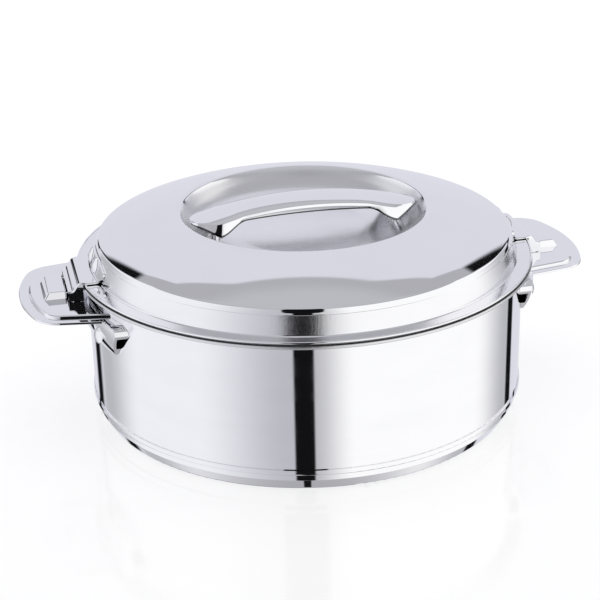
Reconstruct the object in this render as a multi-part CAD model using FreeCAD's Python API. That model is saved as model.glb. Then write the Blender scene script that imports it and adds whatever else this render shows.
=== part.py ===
import FreeCAD, Part
import math
import os

# Insulated serving casserole, about 2.5 litres: a double-walled steel body with two ears,
# and a double-walled steel lid whose two clips rest on the ears.
# Frame: origin at the centre of the foot, +Z up, the ears along +X and -X. Millimetres.

V = FreeCAD.Vector
Z_AXIS = V(0, 0, 1)

# ---- sheet and general clearances ----
shell_sheet = 0.7             # steel of the shells, bowl, base and lid skins
ear_sheet = 1.4               # steel of the ears
clip_sheet = 1.1              # steel of the lid clips
backing_sheet = 1.2           # strips behind the rivets
seam_gap = 0.05               # between sheets that are folded or riveted on each other
foam_gap = 0.2                # the foam stands this far off the steel
hole_gap = 0.1                # radial room round a rivet in its holes

# ---- body ----
wall_radius = 120.0           # outer face of the outer shell
foam_thickness = 11.6         # between the bowl's wall and the shell
rim_height = 84.4             # top face of the rolled rim
rim_reach = 5.5               # how far the rolled rim stands out from the wall
rim_bend = 1.1                # outer radius of the rolled rim
rim_fold = 3.0                # width of the fold under the rim
shell_bend = 0.9              # bends of the shell and bowl into the rim
bowl_floor_height = 17.0      # top face of the bowl's floor
bowl_corner = 12.0            # inner radius between the bowl's floor and wall

# ---- base ----
foot_inset = 5.5              # outer edge of the foot, in from the wall
foot_width = 6.0              # width of the face that stands on the table
foot_recess = 3.0             # height of the base plate inside the foot
foot_slope = 2.0              # run of the slope between the foot and the base plate
base_step_height = 6.6        # height of the small step above the foot
base_step_inset = 1.6
base_band_inset = 0.6         # plain band between the step and the seam
seam_bottom = 10.6            # lower end of the seam that wraps the wall
seam_width = 2.8
base_bend = 1.0               # bends of the base
base_crease = 0.3             # small creases at the seam and the step
foot_bend = 2.2
plug_radius = 6.0             # shank of the plug in the filling hole
plug_flange_radius = 9.0
plug_flange_thickness = 1.6
plug_barb = 0.8               # how far the barb stands out from the shank
plug_barb_length = 3.4
plug_edge_radius = 0.6

# ---- ears ----
ear_below_rim = 9.2           # border of the ears, below the rim's top
ear_reach = 31.8              # how far the ears stand out beyond the rim
ear_end_radius = 85.0         # large curve of the ear's end
ear_corner_radius = 16.0
ear_root_half_width = 44.6    # half width where the ear meets the wall
ear_taper = 0.18              # how much narrower each side gets per mm outwards
ear_edge_radius = 0.5
panel_inset = 5.4             # raised middle of the ear, in from its edge
panel_rise = 1.6
panel_round = 1.4             # rounding of its upper edge
stop_height = 3.9             # pressed stop in front of the lid's clip
stop_length = 13.2
stop_half_width = 13.2
stop_bevel = 3.6              # run of its sloped outer end
stop_draft = 1.2              # run of its sloped sides
stop_edge_radius = 0.8
bracket_reach = 6.2           # how far the bracket stands off the wall at the ear
bracket_bulge = 1.3           # how far its face curves out between top and bottom
bracket_height = 19.2
bracket_foot_half_width = 46.0
bracket_top_half_width = 57.5
bracket_shoulder = 5.0        # rounding of its upper corners
bracket_drop = 3.0            # its widest point is this far below the ear
bracket_half_angle = 40.0     # wider than the bracket, which its front outline trims
ear_rivet_angle = 17.5        # from the ear's middle line
ear_rivet_drop = 9.7          # below the ear's border
ear_backing_half_angle = 23.0
ear_backing_height = 15.0

# ---- rivets ----
head_radius = 5.2             # heads on the ears
clip_head_radius = 4.5        # heads on the lid clips
head_height = 2.0
shank_radius = 2.4
tail_radius = 4.0
tail_height = 1.4
collar_radius = 4.0           # shoulder inside the bracket

# ---- lid: heights are given above the flange that the skirt stands on ----
lid_fit = 0.8                 # radial room between the lid's collar and the bowl
lid_collar_depth = 6.6        # how far the collar reaches into the bowl
lid_collar_corner = 3.0
lid_collar_bend = 1.2         # between the collar and the liner's flange
liner_flange_inset = 2.0      # the liner's flange ends this far inside the rim's edge
flange_bead_radius = 0.65     # rolled bead on the edge of the lid's flange
flange_bead_inset = 0.25      # the bead ends this far inside the body's rim
flange_bead_lift = 0.35       # the bead's middle, above the flange's underside
skirt_inset = 3.0             # foot of the skirt, in from the body's wall
skirt_batter = 2.8            # how far the skirt leans in
skirt_height = 10.0
skirt_bend = 0.8              # between the skirt and the flange
skirt_step = 0.6              # small ledge above the skirt
ledge_bend = 0.3
shoulder_rise = 3.1           # from the ledge to the shoulder's corner
shoulder_radius = 3.6
dome_bend_width = 21.5        # from the well's corner to where the dome's slope changes
dome_bend_rise = 21.15
dome_curve = 200.0
well_radius = 68.5            # corner between dome and well
well_lip_rise = 26.05
well_lip_radius = 3.4
well_wall_width = 8.0         # run of the well's steep wall
well_wall_rise = 17.35        # foot of that wall
well_wall_curve = 16.0
well_slope_width = 16.5       # run of the gentle slope below it
well_floor_rise = 12.55
well_floor_curve = 50.0

# ---- grip ----
grip_sheet = 1.5
grip_middle = (32.75, 12.5, 1.8, 25.95)   # crown height, half width, crown rise, lower edge
grip_stations = [             # the same further out, each after its distance in from the well's corner
    (50.5, 32.15, 12.5, 1.8, 25.65),
    (36.5, 30.25, 12.9, 2.0, 24.35),
    (26.5, 27.75, 14.0, 2.4, 21.75),
    (17.5, 25.15, 16.0, 2.8, 18.35),
    (8.5, 22.65, 17.4, 3.2, 15.25),
    (0.5, 20.75, 17.8, 3.4, 12.15),
]
grip_edge_radius = 2.2
stud_inset = 18.0             # welded studs, in from the well's corner
stud_across = 9.0
stud_radius = 2.4
stud_mark_radius = 3.2        # polished weld mark on the grip
stud_mark_height = 0.3
stud_tail_radius = 4.5
stud_tail = 3.0               # below the lid's skin

# ---- lid clips ----
clip_plate_half_width = 24.3
clip_plate_height = 8.8
clip_plate_half_angle = 20.0  # wider than the plate, which its front outline trims
clip_plate_lift = 1.3         # lower edge of the plate's lobes, above the flange
clip_lobe_rise = 3.0          # the lobes are widest between these two distances
clip_lobe_drop = 3.4          # from the plate's lower and upper edge
clip_lobe_radius = 5.0
clip_crown_half_width = 12.0  # flat part of the plate's upper edge
clip_crown_radius = 12.0
clip_rivet_across = 8.2
clip_rivet_rise = 6.0
clip_strap_half_width = 20.4  # where the strap leaves the plate
clip_taper = 0.225            # how much narrower each side gets per mm outwards
clip_rim_clearance = 0.2      # above the bead of the lid's flange
clip_root_bend = 2.4
clip_drop_start = 0.5         # the strap bends down this far outside the rim
clip_drop_run = 3.2           # outward run of that bend
clip_bend = 3.0
clip_reach = 6.8              # end of the strap, outside the rim
clip_above_stop = 1.8         # top of the strap's end, above the ear's stop
clip_side_gap = 0.4           # between its turned-down sides and the rim
clip_foot_gap = 0.3           # they end this far above the ear
clip_stop_gap = 0.5           # between the strap's end and the ear's stop
clip_edge_radius = 0.9
clip_backing_half_angle = 8.0
clip_backing_height = 6.0

# ---- places that follow from the sizes above ----
bowl_bore = wall_radius - 2 * shell_sheet - foam_thickness
wall_inside = wall_radius - shell_sheet
bracket_inside = wall_radius + seam_gap
rim_edge = wall_radius + rim_reach
seam_top = seam_bottom + seam_width
foot_radius = wall_radius - foot_inset
foot_inner = foot_radius - foot_width
ear_height = rim_height - ear_below_rim
panel_height = ear_height + panel_rise
stop_top = panel_height + stop_height
bracket_foot_height = ear_height - bracket_height
ear_rivet_height = ear_height - ear_rivet_drop
ear_tip = rim_edge + ear_reach
clip_end = rim_edge + clip_reach
stop_start = clip_end + clip_stop_gap
liner_top = rim_height + shell_sheet
flange_top = liner_top + seam_gap + shell_sheet
bead_radius_place = rim_edge - flange_bead_inset - flange_bead_radius
bead_height = flange_top - shell_sheet + flange_bead_lift
skirt_foot_radius = wall_radius - skirt_inset
skirt_top_radius = skirt_foot_radius - skirt_batter
skirt_lean = math.atan2(skirt_batter, skirt_height)
clip_rivet_height = flange_top + clip_rivet_rise
full_turn = 360
tiny = 1e-4                   # tolerance when shapes are compared
near_half = 0.49              # most of a run that a bend may take
reach = 2 * ear_tip           # larger than anything in the part


def unit(a, b):
    """Direction in the plane from point a to point b."""
    length = math.hypot(b[0] - a[0], b[1] - a[1])
    return ((b[0] - a[0]) / length, (b[1] - a[1]) / length)


def moved_path(path, distance):
    """A path of (x, y, bend radius) corners moved sideways to its left; bends keep their centres."""
    moved = []
    last = len(path) - 1
    for i, (x, y, radius) in enumerate(path):
        before = unit(path[max(i - 1, 0)], path[max(i, 1)])
        after = unit(path[min(i, last - 1)], path[min(i + 1, last)])
        normal = (-(before[1] + after[1]), before[0] + after[0])
        scale = distance / (1 + before[0] * after[0] + before[1] * after[1])
        left_turn = before[0] * after[1] - before[1] * after[0] > 0
        new_radius = radius - distance if left_turn else radius + distance
        moved.append((x + normal[0] * scale, y + normal[1] * scale, max(new_radius, 0) if radius else 0))
    return moved


def path_edges(path, place):
    """Straight runs and tangent arcs along a path; place turns plane points into 3-D ones."""
    room = [math.dist(path[i][:2], path[i + 1][:2]) for i in range(len(path) - 1)]
    edges = []
    start = path[0][:2]
    for i in range(1, len(path) - 1):
        corner = path[i][:2]
        before = unit(path[i - 1], path[i])
        after = unit(path[i], path[i + 1])
        turn = math.acos(max(-1.0, min(1.0, before[0] * after[0] + before[1] * after[1])))
        if path[i][2] == 0 or turn < tiny:
            edges.append(Part.makeLine(place(*start), place(*corner)))
            start = corner
            continue
        tangent = min(path[i][2] * math.tan(turn / 2), near_half * room[i - 1], near_half * room[i])
        radius = tangent / math.tan(turn / 2)
        first = (corner[0] - before[0] * tangent, corner[1] - before[1] * tangent)
        second = (corner[0] + after[0] * tangent, corner[1] + after[1] * tangent)
        bisector = unit((0, 0), (after[0] - before[0], after[1] - before[1]))
        depth = radius / math.cos(turn / 2) - radius
        middle = (corner[0] + bisector[0] * depth, corner[1] + bisector[1] * depth)
        if math.dist(start, first) > tiny:
            edges.append(Part.makeLine(place(*start), place(*first)))
        edges.append(Part.Arc(place(*first), place(*middle), place(*second)).toShape())
        start = second
    edges.append(Part.makeLine(place(*start), place(*path[-1][:2])))
    return edges


def on_section(r, z):
    """A point of the half section, radius and height."""
    return V(r, 0, z)


def flat_at(z):
    """Places plane points (x, y) at height z."""
    return lambda x, y: V(x, y, z)


def across_at(x):
    """Places plane points (y, z) at distance x."""
    return lambda y, z: V(x, y, z)


def face_between(path, thickness, place=on_section):
    """The cross-section of a bent sheet: path is one face, the other lies thickness to its left."""
    other = moved_path(path, thickness)
    ends = [
        Part.makeLine(place(*path[0][:2]), place(*other[0][:2])),
        Part.makeLine(place(*path[-1][:2]), place(*other[-1][:2])),
    ]
    edges = path_edges(path, place) + path_edges(other, place) + ends
    return Part.Face(Part.Wire(Part.__sortEdges__(edges)))


def closed_face(path, place=on_section):
    """A face whose outline is a closed path of corners."""
    middle = ((path[0][0] + path[1][0]) / 2, (path[0][1] + path[1][1]) / 2, 0)
    edges = path_edges([middle] + path[1:] + path[:1] + [middle], place)
    return Part.Face(Part.Wire(Part.__sortEdges__(edges)))


def spun(face):
    """A face of the half section turned about the vertical axis."""
    return face.revolve(V(0, 0, 0), Z_AXIS, full_turn)


def sector(face, half_angle):
    """A face of the half section turned through half_angle each way from the X axis."""
    turned = face.revolve(V(0, 0, 0), Z_AXIS, 2 * half_angle)
    turned.rotate(V(0, 0, 0), Z_AXIS, -half_angle)
    return turned


def disc(radius, bottom, top):
    """Plain disc about the vertical axis."""
    return Part.makeCylinder(radius, top - bottom, V(0, 0, bottom))


def rectangle(inner, outer, bottom, top):
    """Corners of a rectangle in the half section."""
    return [(inner, bottom, 0), (outer, bottom, 0), (outer, top, 0), (inner, top, 0)]


def mirrored(shape):
    """The same piece on the left, at -X."""
    turned = shape.copy()
    turned.rotate(V(0, 0, 0), Z_AXIS, full_turn / 2)
    return turned


def seated(shape, lean, radius, height, angle):
    """Moves a shape built along +X to a seat on the part: tipped up by lean, then turned by angle."""
    shape.rotate(V(0, 0, 0), V(0, 1, 0), -lean)
    shape.translate(V(radius, 0, height))
    shape.rotate(V(0, 0, 0), Z_AXIS, angle)
    return shape


def head(radius):
    """Domed rivet head that stands on the plane x = 0."""
    ball = (radius ** 2 + head_height ** 2) / (2 * head_height)
    dome = Part.makeSphere(ball, V(head_height - ball, 0, 0))
    return dome.common(Part.makeBox(head_height, 2 * ball, 2 * ball, V(0, -ball, -ball)))


def rod(radius, start, end):
    """Round bar along X from start to end."""
    return Part.makeCylinder(radius, end - start, V(start, 0, 0), V(1, 0, 0))


def edges_where(shape, test):
    """The edges of a shape whose middle passes a test."""
    found = []
    for edge in shape.Edges:
        middle = edge.valueAt((edge.FirstParameter + edge.LastParameter) / 2)
        if test(middle, edge):
            found.append(edge)
    return found


def largest(shape):
    """The largest solid of a shape."""
    return max(shape.Solids, key=lambda solid: solid.Volume)


# ---------------------------------------------------------------- body

def outer_shell():
    """Wall from its foot inside the base seam to the flange under the rim."""
    flange_bottom = rim_height - 2 * shell_sheet - seam_gap
    path = [
        (wall_radius, seam_bottom + shell_sheet + seam_gap, 0),
        (wall_radius, flange_bottom, shell_bend),
        (rim_edge - rim_bend, flange_bottom, 0),
    ]
    return spun(face_between(path, shell_sheet))


def inner_bowl():
    """Bowl with a flange that folds over and under the outer shell's flange."""
    fold_bottom = rim_height - 3 * shell_sheet - 2 * seam_gap
    path = [
        (0, bowl_floor_height, 0),
        (bowl_bore, bowl_floor_height, bowl_corner),
        (bowl_bore, rim_height, shell_bend + shell_sheet),
        (rim_edge, rim_height, rim_bend),
        (rim_edge, fold_bottom, rim_bend),
        (rim_edge - rim_fold, fold_bottom, 0),
    ]
    return spun(face_between(path, -shell_sheet))


def base_path():
    """Outer face of the base: seam round the wall, band, small step, foot and recessed plate."""
    seam_radius = wall_radius + seam_gap + shell_sheet
    return [
        (seam_radius, seam_top, 0),
        (seam_radius, seam_bottom, base_bend),
        (wall_radius - base_band_inset, seam_bottom - base_crease, base_crease),
        (wall_radius - base_band_inset - base_crease / 2, base_step_height + base_crease, base_crease),
        (wall_radius - base_step_inset, base_step_height, base_crease),
        (foot_radius + base_bend, 0, foot_bend),
        (foot_inner, 0, base_bend),
        (foot_inner - foot_slope, foot_recess, base_bend),
        (0, foot_recess, 0),
    ]


def base_cover():
    cover = spun(face_between(base_path(), -shell_sheet))
    return cover.cut(disc(plug_radius + hole_gap, 0, foot_recess + 2 * shell_sheet))


def base_fill_plug():
    """Flanged push-in plug from below, with a barb behind the base plate."""
    under = foot_recess - seam_gap
    above = foot_recess + shell_sheet + seam_gap
    path = [
        (0, under - plug_flange_thickness, 0),
        (plug_flange_radius, under - plug_flange_thickness, plug_edge_radius),
        (plug_flange_radius, under, 0),
        (plug_radius, under, 0),
        (plug_radius, above, 0),
        (plug_radius + plug_barb, above, 0),
        (plug_radius - plug_barb, above + plug_barb_length, 0),
        (0, above + plug_barb_length, 0),
    ]
    return spun(closed_face(path))


def body_foam(obstacles):
    """Foam that fills the space between bowl and shell, down to the base."""
    bowl_outside = bowl_bore + shell_sheet + foam_gap
    floor = bowl_floor_height - shell_sheet - foam_gap
    outer = wall_inside - foam_gap
    top = rim_height - shell_sheet - foam_gap
    bend = shell_bend + shell_sheet
    base = moved_path(base_path(), -shell_sheet - foam_gap)[2:]
    path = [(outer, seam_top, 0)] + base + [
        (0, floor, 0),
        (bowl_outside, floor, bowl_corner + shell_sheet + foam_gap),
        (bowl_outside, top - bend, 0),
        (bowl_outside + bend, top, 0),
        (outer - bend, top, 0),
        (outer, top - bend, 0),
    ]
    plug_hole = disc(plug_radius + plug_barb + foam_gap, 0, floor - foam_gap)
    return spun(closed_face(path)).cut(Part.makeCompound([plug_hole] + obstacles))


# ---------------------------------------------------------------- ears

def ear_block(inset, bottom, top):
    """The ear's plan, inset from its edge, as a block between two heights."""
    root = ear_root_half_width - inset * math.hypot(1, ear_taper)
    wide = root + ear_taper * wall_radius
    narrow = wide - ear_taper * reach
    plan = [(0, -wide, 0), (reach, -narrow, 0), (reach, narrow, 0), (0, wide, 0)]
    block = closed_face(plan, flat_at(bottom)).extrude(V(0, 0, top - bottom))
    end = Part.makeCylinder(ear_end_radius - inset, top - bottom, V(ear_tip - ear_end_radius, 0, bottom))
    block = block.common(end.fuse(disc(wall_radius, bottom, top)))

    def outer_corner(point, edge):
        upright = abs(edge.tangentAt(edge.FirstParameter).z) > 1 - tiny
        return upright and point.x > rim_edge

    return block.makeFillet(ear_corner_radius - inset, edges_where(block, outer_corner))


def ear_panel():
    """Raised middle of the ear, with its upper edge rounded."""
    panel = ear_block(panel_inset, ear_height - ear_sheet, panel_height)

    def upper_edge(point, edge):
        return point.z > panel_height - tiny and point.x > wall_radius / 2

    return panel.makeFillet(panel_round, edges_where(panel, upper_edge))


def stop_block(inset, bottom, top):
    """The pressed stop on the ear, or its hollow underside when inset by the sheet."""
    left = stop_start + inset

    def outline(height, bevel, draft):
        right = stop_start + stop_length - inset - bevel
        side = stop_half_width - inset - draft
        corners = [(left, -side), (right, -side), (right, side), (left, side), (left, -side)]
        return Part.makePolygon([V(x, y, height) for x, y in corners])

    return Part.makeLoft([outline(bottom, 0, 0), outline(top, stop_bevel, stop_draft)], True, True)


def bracket_section(inset):
    """Half section of the bracket between the ear and the wall."""
    top = ear_height - inset
    face_top = bracket_inside + bracket_reach - inset
    face_foot = bracket_inside + ear_sheet - inset
    waist = V((face_top + face_foot) / 2 + bracket_bulge, 0, (top + bracket_foot_height) / 2)
    corner = V(face_top, 0, top - bracket_drop)
    foot = V(face_foot, 0, bracket_foot_height)
    edges = [
        Part.makeLine(V(wall_inside, 0, top), V(face_top, 0, top)),
        Part.makeLine(V(face_top, 0, top), corner),
        Part.Arc(corner, waist, foot).toShape(),
        Part.makeLine(foot, V(wall_inside, 0, bracket_foot_height)),
        Part.makeLine(V(wall_inside, 0, bracket_foot_height), V(wall_inside, 0, top)),
    ]
    return Part.Face(Part.Wire(edges))


def bracket_block(inset):
    """The bracket as a full block: its section turned, and trimmed to its front outline."""
    top = ear_height - inset
    foot = bracket_foot_half_width - inset
    wide = bracket_top_half_width - inset
    outline = [
        (-foot, bracket_foot_height - inset, 0),
        (foot, bracket_foot_height - inset, 0),
        (wide, top - bracket_drop - inset, bracket_shoulder),
        (wide - bracket_shoulder, top, bracket_shoulder),
        (bracket_shoulder - wide, top, bracket_shoulder),
        (-wide, top - bracket_drop - inset, bracket_shoulder),
    ]
    front = closed_face(outline, across_at(0)).extrude(V(reach, 0, 0))
    block = sector(bracket_section(inset), bracket_half_angle).common(front)
    return block.cut(disc(bracket_inside, 0, rim_height))


def ear_rivet_seat():
    """Radius of the bracket's face at the rivets, and how much the face leans there, in degrees."""
    waist = (ear_height + bracket_foot_height) / 2
    radius = bracket_inside + (bracket_reach + ear_sheet) / 2 + bracket_bulge
    slope = math.atan2(bracket_reach - ear_sheet, bracket_height - bracket_drop)
    return radius + (ear_rivet_height - waist) * math.tan(slope), math.degrees(slope)


def ear_rivet_angles():
    return (-ear_rivet_angle, ear_rivet_angle)


def ear_rivets():
    """Two rivets: head on the bracket, collar inside it, shank through the wall, tail in the foam."""
    seat, lean = ear_rivet_seat()
    room = bracket_block(ear_sheet + seam_gap)
    tail_face = wall_inside - 3 * seam_gap - backing_sheet - seat
    rivets = []
    for angle in ear_rivet_angles():
        place = (0, seat, ear_rivet_height, angle)
        top = seated(head(head_radius), lean, seat, ear_rivet_height, angle)
        shank = seated(rod(shank_radius, tail_face, head_height / 2), *place)
        tail = seated(rod(tail_radius, tail_face - tail_height, tail_face), *place)
        collar = seated(rod(collar_radius, -bracket_reach, 0), *place).common(room)
        collar = collar.cut(disc(bracket_inside + seam_gap, 0, rim_height))
        rivets.append(shank.fuse([top, tail, collar]).removeSplitter())
    return rivets


def ear_rivet_holes():
    """Straight clearance holes for the shanks."""
    start = wall_inside - foam_thickness + foam_gap
    end = bracket_inside + 2 * bracket_reach
    return [
        seated(rod(shank_radius + hole_gap, start, end), 0, 0, ear_rivet_height, angle)
        for angle in ear_rivet_angles()
    ]


def ear():
    """Ear with its raised panel and stop, and the hollow bracket that carries it on the wall."""
    border = ear_block(0, ear_height - ear_sheet, ear_height)

    def outer_rim(point, edge):
        flat = abs(edge.tangentAt(edge.FirstParameter).z) < tiny
        return flat and point.x > wall_radius / 2

    border = border.makeFillet(ear_edge_radius, edges_where(border, outer_rim))
    stop = stop_block(0, ear_height, stop_top)

    def stop_edge(point, edge):
        return point.z > panel_height

    stop = stop.makeFillet(stop_edge_radius, edges_where(stop, stop_edge))
    solid = border.fuse([ear_panel(), stop, bracket_block(0)]).removeSplitter()
    panel_hollow = ear_block(panel_inset + ear_sheet, ear_height - 2 * ear_sheet, panel_height - ear_sheet)
    panel_hollow = panel_hollow.cut(disc(bracket_inside + bracket_reach, 0, rim_height))
    hollows = [
        bracket_block(ear_sheet),
        panel_hollow,
        stop_block(ear_sheet, ear_height - 2 * ear_sheet, stop_top - ear_sheet),
        disc(bracket_inside, 0, rim_height),
    ]
    seat, lean = ear_rivet_seat()
    spots = [
        seated(rod(head_radius + hole_gap, 0, head_height), lean, seat, ear_rivet_height, angle)
        for angle in ear_rivet_angles()
    ]
    return largest(solid.cut(hollows + ear_rivet_holes() + spots))


def ear_backing():
    """Curved strip inside the wall that spreads the load of both rivets."""
    outer = wall_inside - seam_gap
    low = ear_rivet_height - ear_backing_height / 2
    high = ear_rivet_height + ear_backing_height / 2
    strip = sector(closed_face(rectangle(outer - backing_sheet, outer, low, high)), ear_backing_half_angle)
    return strip.cut(ear_rivet_holes())


def ear_foam_room():
    """What one ear's fixings take out of the foam."""
    inner = wall_inside - backing_sheet - 2 * seam_gap - foam_gap
    low = ear_rivet_height - ear_backing_height / 2 - foam_gap
    high = ear_rivet_height + ear_backing_height / 2 + foam_gap
    end_room = math.degrees(foam_gap / inner)
    strip = closed_face(rectangle(inner, wall_inside, low, high))
    room = [sector(strip, ear_backing_half_angle + end_room)]
    depth = tail_height + 2 * foam_gap
    for angle in ear_rivet_angles():
        tail_room = rod(tail_radius + foam_gap, -depth, backing_sheet)
        room.append(seated(tail_room, 0, inner, ear_rivet_height, angle))
    return room


# ---------------------------------------------------------------- lid

def dome_path():
    """Outer face of the lid's skin, from the middle of the well to the edge of the flange."""
    wall_foot = well_radius - well_wall_width
    ledge = flange_top + skirt_height
    return [
        (0, flange_top + well_floor_rise, 0),
        (wall_foot - well_slope_width, flange_top + well_floor_rise, well_floor_curve),
        (wall_foot, flange_top + well_wall_rise, well_wall_curve),
        (well_radius, flange_top + well_lip_rise, well_lip_radius),
        (well_radius + dome_bend_width, flange_top + dome_bend_rise, dome_curve),
        (skirt_top_radius - skirt_step, ledge + shoulder_rise, shoulder_radius),
        (skirt_top_radius - skirt_step, ledge, ledge_bend),
        (skirt_top_radius, ledge, ledge_bend),
        (skirt_foot_radius, flange_top, skirt_bend),
        (bead_radius_place, flange_top, 0),
    ]


def lid_dome(holes):
    """Lid skin with its well, skirt, flange and the rolled bead on the flange's edge."""
    skin = spun(face_between(dome_path(), -shell_sheet))
    bead = Part.makeTorus(bead_radius_place, flange_bead_radius, V(0, 0, bead_height))
    return skin.fuse(bead).removeSplitter().cut(holes)


def lid_liner():
    """Inner skin: flange that sits on the rim, collar inside the bowl, and flat underside."""
    collar = bowl_bore - lid_fit
    bottom = rim_height - lid_collar_depth
    path = [
        (0, bottom, 0),
        (collar, bottom, lid_collar_corner),
        (collar, rim_height, lid_collar_bend),
        (rim_edge - liner_flange_inset, rim_height, 0),
    ]
    return spun(face_between(path, shell_sheet))


def lid_foam(obstacles):
    """Foam between the lid's skins."""
    collar = bowl_bore - lid_fit - shell_sheet - foam_gap
    floor = rim_height - lid_collar_depth + shell_sheet + foam_gap
    flange = liner_top + foam_gap
    skin = moved_path(dome_path(), -shell_sheet - foam_gap)[:-2]
    outer = skirt_seat(flange) - (shell_sheet + foam_gap) / math.cos(skirt_lean)
    path = skin + [
        (outer, flange, 0),
        (collar + lid_collar_bend, flange, 0),
        (collar, flange - lid_collar_bend, 0),
        (collar, floor, lid_collar_corner),
        (0, floor, 0),
    ]
    return spun(closed_face(path)).cut(Part.makeCompound(obstacles))


def skirt_seat(height):
    """Radius of the skirt's outer face at a height."""
    return skirt_foot_radius - (height - flange_top) * math.tan(skirt_lean)


# ---------------------------------------------------------------- grip

def grip_section(station, inset, drop):
    """Closed cross-section of the grip: crowned top and straight sides, with its foot lowered by drop."""
    along, crown, half_width, rise, low = station
    side = half_width - inset
    top = flange_top + crown - inset
    bottom = flange_top + low - drop
    left_foot, right_foot = V(along, -side, bottom), V(along, side, bottom)
    left_top, right_top = V(along, -side, top - rise), V(along, side, top - rise)
    return Part.Wire([
        Part.makeLine(left_foot, left_top),
        Part.Arc(left_top, V(along, 0, top), right_top).toShape(),
        Part.makeLine(right_top, right_foot),
        Part.makeLine(right_foot, left_foot),
    ])


def grip_block(inset, drop):
    """Smooth block through the grip's stations, both ways from the middle."""
    half = [(well_radius - station[0],) + station[1:] for station in grip_stations]
    other = [(-station[0],) + station[1:] for station in reversed(half)]
    stations = other + [(0,) + grip_middle] + half
    return Part.makeLoft([grip_section(station, inset, drop) for station in stations], True, False)


def below_skin(distance, base):
    """Solid of all that lies under the well's skin, moved by a distance, down to a base height."""
    top = moved_path(dome_path()[:5], distance)
    return spun(closed_face(top + [(top[-1][0], base, 0), (0, base, 0)]))


def lid_grip():
    """Arched strap with turned-down sides; its flared ends stand on the wall of the well."""
    outside = grip_block(0, 0)

    def long_edge(point, edge):
        return edge.Length > well_radius and point.z > flange_top + grip_middle[3] + grip_edge_radius

    outside = outside.makeFillet(grip_edge_radius, edges_where(outside, long_edge))
    strap = outside.cut(grip_block(grip_sheet, grip_sheet)).cut(below_skin(seam_gap, rim_height))
    return largest(strap).cut(stud_bars(hole_gap))


def stud_places():
    """The four places of the grip's studs."""
    along = well_radius - stud_inset
    return [(x, y) for x in (-along, along) for y in (-stud_across, stud_across)]


def stud_foot():
    """Lower end of the studs, inside the lid's foam."""
    return flange_top + well_floor_rise - shell_sheet - stud_tail


def stud_bars(gap):
    """Upright bars at the studs, from inside the lid's foam to above the grip."""
    height = flange_top + grip_middle[0] - stud_foot()
    return [Part.makeCylinder(stud_radius + gap, height, V(x, y, stud_foot())) for x, y in stud_places()]


def grip_studs():
    """Studs welded to the grip: a low mark on top, and a stem through the lid's skin to a wide tail."""
    all_below = grip_middle[3]
    crown = grip_block(-stud_mark_height, all_below)
    strap = grip_block(-seam_gap, all_below)
    under = below_skin(-shell_sheet - seam_gap, stud_foot())
    studs = []
    for bar, (x, y) in zip(stud_bars(0), stud_places()):
        mark = Part.makeCylinder(stud_mark_radius, reach, V(x, y, stud_foot())).common(crown).cut(strap)
        tail = Part.makeCylinder(stud_tail_radius, stud_tail, V(x, y, stud_foot())).common(under)
        studs.append(bar.common(crown).fuse([mark, tail]).removeSplitter())
    return studs


def stud_foam_room():
    """What the studs take out of the lid's foam."""
    low = stud_foot() - foam_gap
    height = flange_top + well_lip_rise - low
    return [Part.makeCylinder(stud_tail_radius + foam_gap, height, V(x, y, low)) for x, y in stud_places()]


# ---------------------------------------------------------------- lid clips

def clip_strap_height():
    """Height of the strap's underside where it crosses the rim."""
    return bead_height + flange_bead_radius + clip_rim_clearance


def clip_plate():
    """Plate that lies on the skirt, with rounded lobes, and the bend that leads into the strap."""
    low = flange_top + clip_plate_lift
    high = low + clip_plate_height
    over_rim = clip_strap_height()
    off_skirt = seam_gap / math.cos(skirt_lean)
    path = [
        (skirt_seat(high) + off_skirt, high, 0),
        (skirt_seat(over_rim) + off_skirt, over_rim, clip_root_bend + clip_sheet),
        (bead_radius_place, over_rim, 0),
    ]
    half = clip_plate_half_width
    neck = clip_strap_half_width
    right = [
        (neck, rim_height - clip_plate_height, 0),
        (neck, low, clip_sheet),
        (half, low + clip_lobe_rise, clip_lobe_radius),
        (half, high - clip_lobe_drop, clip_lobe_radius),
        (clip_crown_half_width, high, clip_crown_radius),
    ]
    left = [(-y, z, radius) for y, z, radius in reversed(right)]
    front = closed_face(left[-1:] + right + left[:-1], across_at(0)).extrude(V(reach, 0, 0))
    return sector(face_between(path, clip_sheet), clip_plate_half_angle).common(front)


def clip_plan(inset):
    """The strap's tapering plan, with its sides moved in by inset, as an upright block."""
    root = bead_radius_place - clip_root_bend
    half_root = clip_strap_half_width - inset * math.hypot(1, clip_taper)
    half_end = half_root - clip_taper * (clip_end - root)
    plan = [(root, -half_root, 0), (clip_end, -half_end, 0), (clip_end, half_end, 0), (root, half_root, 0)]
    return closed_face(plan, flat_at(ear_height)).extrude(V(0, 0, rim_height))


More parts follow.
